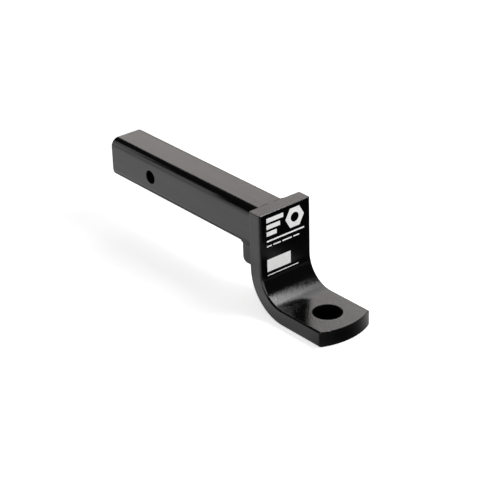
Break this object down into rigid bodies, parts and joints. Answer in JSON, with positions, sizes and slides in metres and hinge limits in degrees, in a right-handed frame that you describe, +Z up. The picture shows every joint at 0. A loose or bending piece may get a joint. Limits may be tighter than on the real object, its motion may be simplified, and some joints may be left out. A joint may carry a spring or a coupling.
{
  "type": "ball mount",
  "caption": "Trailer hitch ball mount: square tube shank with a cross pin hole, welded to a flat bar bent down to a round-nosed platform with a ball hole.",
  "frame": {"origin": "centre of the hitch pin hole, on the shank's axis", "axes": "+X along the shank towards the ball, +Y along the hitch pin hole, +Z up"},
  "size_m": [0.4075, 0.0762, 0.1256],
  "materials": {
    "shank_paint": "gloss black paint with a slight orange peel",
    "bar_paint": "gloss black paint over hot rolled bar",
    "block_paint": "gloss black paint",
    "weld_paint": "gloss black paint over a rippled bead",
    "label_film": "satin black film",
    "label_ink": "white ink"
  },
  "bodies": {
    "root": {"shank": "shank_paint", "drawbar": "bar_paint", "gusset_block": "block_paint", "shank_weld": "weld_paint", "gusset_weld": "weld_paint", "label": "label_film", "label_print": "label_ink"}
  },
  "joints": []
}
